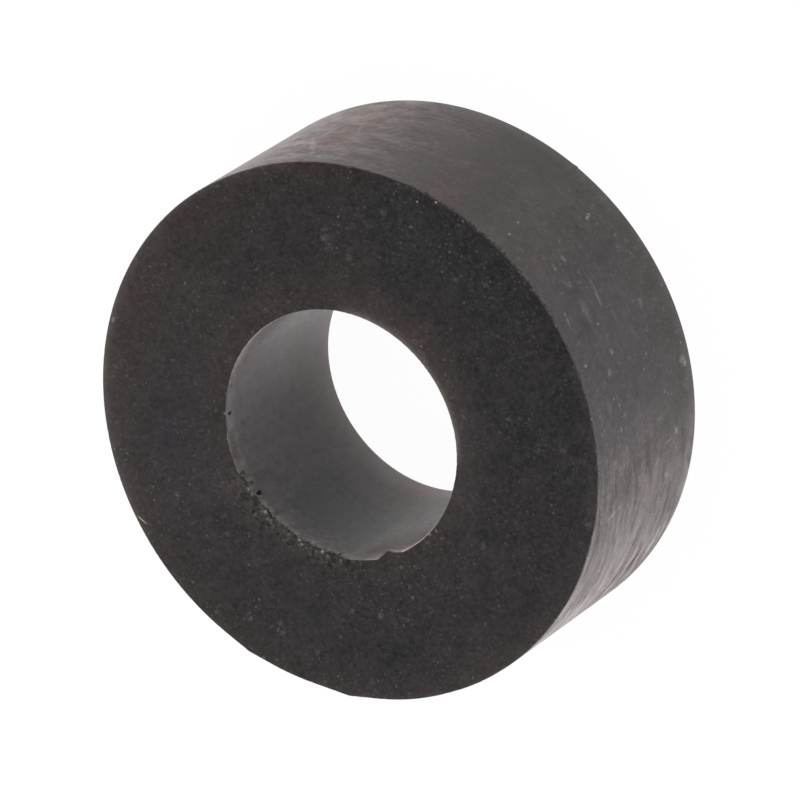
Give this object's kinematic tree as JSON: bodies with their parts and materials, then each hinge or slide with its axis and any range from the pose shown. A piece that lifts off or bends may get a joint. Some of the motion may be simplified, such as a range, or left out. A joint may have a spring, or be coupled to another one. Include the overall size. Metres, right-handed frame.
{
  "type": "rubber bushing",
  "caption": "Thick solid rubber ring with a plain through bore that runs slightly off centre, pressed over a shaft or bolt as a spacer and cushion.",
  "frame": {"origin": "on the lower end face, on the axis of the outside, so at the middle of the ring's base; the ring stands on this face", "axes": "+Z along the ring's axis, from the lower end face to the upper one; +X from the axis of the outside towards the axis of the bore, so the wall is thinnest on the +X side; +Y completes the right-handed set"},
  "size_m": [0.032, 0.032, 0.0118],
  "materials": {
    "rubber": "solid black rubber: end faces cut matt and finely speckled, outside ground with fine lines round it, bore smooth"
  },
  "bodies": {
    "root": {"bushing": "rubber"}
  },
  "joints": []
}
